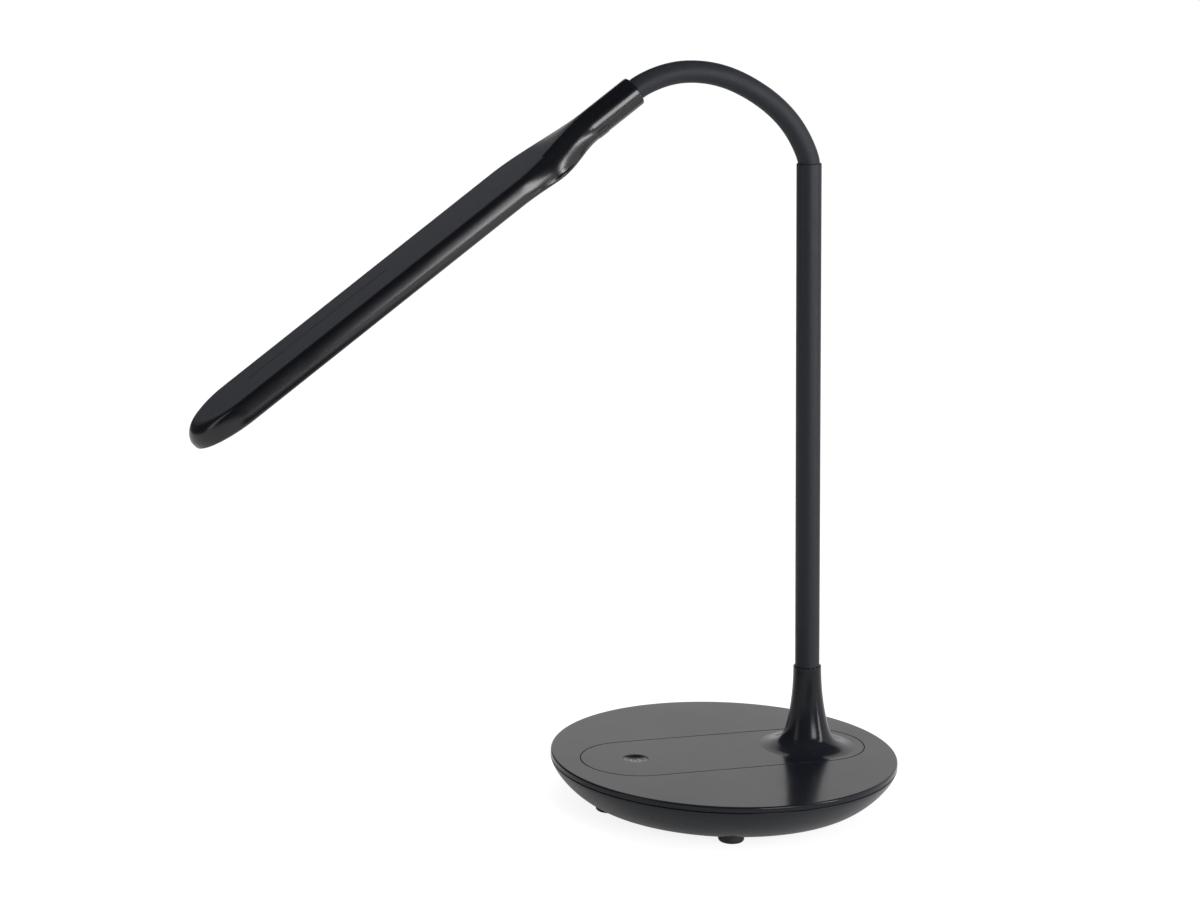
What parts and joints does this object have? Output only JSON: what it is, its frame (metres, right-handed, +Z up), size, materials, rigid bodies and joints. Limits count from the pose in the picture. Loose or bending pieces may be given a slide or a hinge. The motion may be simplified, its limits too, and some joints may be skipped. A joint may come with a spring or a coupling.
{
  "type": "gooseneck desk lamp",
  "caption": "Desk lamp with a round weighted touch base, a leaning post, a flexible neck and a slim light bar with a flat top and a rounded tip.",
  "frame": {"origin": "centre of the round base, on the surface that the feet stand on", "axes": "+Z up, +X from the centre of the base towards the post, the light bar reaches out towards -X, +Y to complete a right-handed frame"},
  "size_m": [0.3496, 0.17, 0.3616],
  "materials": {
    "base_black": "moulded black plastic with a satin gloss",
    "base_top": "black plastic, polished so that it mirrors what stands on it",
    "panel_black": "polished black plastic",
    "touch_black": "dished glossy black touch mark",
    "foot_rubber": "black moulded rubber",
    "post_paint": "fine matt charcoal paint on steel tube",
    "neck_sleeve": "matte charcoal sleeve on a bendable steel tube",
    "bar_black": "black plastic, glossy sides and a satin flat top",
    "diffuser_white": "opal white diffuser",
    "board_green": "green solder mask on circuit board",
    "board_white": "white solder mask on circuit board",
    "led_yellow": "pale yellow phosphor",
    "inner_black": "matt black moulded plastic",
    "lead_cover": "black flexible lead cover",
    "brass": "turned brass",
    "pin_metal": "bright plated pin",
    "screw_steel": "zinc-plated steel",
    "ballast_iron": "grey cast iron",
    "socket_metal": "machined aluminium",
    "spreader_metal": "plain aluminium sheet"
  },
  "bodies": {
    "base": {"base_bowl": "base_black", "base_cover": "base_top", "control_panel": "panel_black", "touch_mark": "touch_black", "touch_board": "board_green", "control_board": "board_green", "board_parts": "inner_black", "board_standoffs": "brass", "board_screws": "screw_steel", "ballast_plate": "ballast_iron", "ballast_screws": "screw_steel", "post_socket": "socket_metal", "socket_screws": "screw_steel", "set_screw": "screw_steel", "cover_screws": "screw_steel", "panel_screws": "screw_steel", "feet": "foot_rubber", "power_jack": "inner_black", "jack_pin": "pin_metal", "jack_lead": "lead_cover", "lamp_lead": "lead_cover", "post_tube": "post_paint", "neck_root": "neck_sleeve"},
    "link_01": {"neck_link_01": "neck_sleeve"},
    "link_02": {"neck_link_02": "neck_sleeve"},
    "link_03": {"neck_link_03": "neck_sleeve"},
    "link_04": {"neck_link_04": "neck_sleeve"},
    "link_05": {"neck_link_05": "neck_sleeve"},
    "link_06": {"neck_link_06": "neck_sleeve"},
    "link_07": {"neck_link_07": "neck_sleeve"},
    "link_08": {"neck_link_08": "neck_sleeve"},
    "link_09": {"neck_link_09": "neck_sleeve"},
    "link_10": {"neck_link_10": "neck_sleeve"},
    "link_11": {"neck_link_11": "neck_sleeve"},
    "bar": {"neck_tip": "neck_sleeve", "bar_shell": "bar_black", "bar_bezel": "bar_black", "diffuser": "diffuser_white", "led_board": "board_white", "leds": "led_yellow", "heat_spreader": "spreader_metal", "spreader_screws": "screw_steel", "clamp_cover": "bar_black", "clamp_screw": "screw_steel", "bezel_screws": "screw_steel", "bar_lead": "lead_cover"}
  },
  "joints": [
    {"name": "bend_01", "type": "hinge", "parent": "base", "child": "link_01", "pos_m": [0.03184, 0, 0.31502], "axis": [0, -1, 0], "range_deg": [-19, 5]},
    {"name": "bend_02", "type": "hinge", "parent": "link_01", "child": "link_02", "pos_m": [0.02836, 0, 0.32386], "axis": [0, -1, 0], "range_deg": [-19, 5]},
    {"name": "swing_03", "type": "hinge", "parent": "link_02", "child": "link_03", "pos_m": [0.02219, 0, 0.33109], "axis": [0.7604, 0, 0.6494], "range_deg": [-15, 15]},
    {"name": "bend_04", "type": "hinge", "parent": "link_03", "child": "link_04", "pos_m": [0.01602, 0, 0.33831], "axis": [0, -1, 0], "range_deg": [-12.5, 3.29]},
    {"name": "bend_05", "type": "hinge", "parent": "link_04", "child": "link_05", "pos_m": [0.00843, 0, 0.34403], "axis": [0, -1, 0], "range_deg": [-9.5, 2.5]},
    {"name": "swing_06", "type": "hinge", "parent": "link_05", "child": "link_06", "pos_m": [0, 0, 0.34841], "axis": [0.4617, 0, 0.887], "range_deg": [-15, 15]},
    {"name": "bend_07", "type": "hinge", "parent": "link_06", "child": "link_07", "pos_m": [-0.00842, 0, 0.3528], "axis": [0, -1, 0], "range_deg": [-10.5, 2.76]},
    {"name": "bend_08", "type": "hinge", "parent": "link_07", "child": "link_08", "pos_m": [-0.01751, 0, 0.35558], "axis": [0, -1, 0], "range_deg": [-14.5, 3.82]},
    {"name": "swing_09", "type": "hinge", "parent": "link_08", "child": "link_09", "pos_m": [-0.027, 0, 0.35599], "axis": [0.0436, 0, 0.999], "range_deg": [-15, 15]},
    {"name": "bend_10", "type": "hinge", "parent": "link_09", "child": "link_10", "pos_m": [-0.03649, 0, 0.35641], "axis": [0, -1, 0], "range_deg": [-16.5, 4.34]},
    {"name": "bend_11", "type": "hinge", "parent": "link_10", "child": "link_11", "pos_m": [-0.04571, 0, 0.35411], "axis": [0, -1, 0], "range_deg": [-11.5, 3.03]},
    {"name": "bend_12", "type": "hinge", "parent": "link_11", "child": "bar", "pos_m": [-0.05428, 0, 0.35002], "axis": [0, -1, 0], "range_deg": [-11.8, 3.11]}
  ],
  "couplings": [
    {"joint": "bend_02", "follows": "bend_01", "ratio": 1},
    {"joint": "bend_04", "follows": "bend_01", "ratio": 0.6579},
    {"joint": "bend_05", "follows": "bend_01", "ratio": 0.5},
    {"joint": "swing_06", "follows": "swing_03", "ratio": 1},
    {"joint": "bend_07", "follows": "bend_01", "ratio": 0.55263},
    {"joint": "bend_08", "follows": "bend_01", "ratio": 0.76316},
    {"joint": "swing_09", "follows": "swing_03", "ratio": 1},
    {"joint": "bend_10", "follows": "bend_01", "ratio": 0.86842},
    {"joint": "bend_11", "follows": "bend_01", "ratio": 0.60526},
    {"joint": "bend_12", "follows": "bend_01", "ratio": 0.62105}
  ]
}
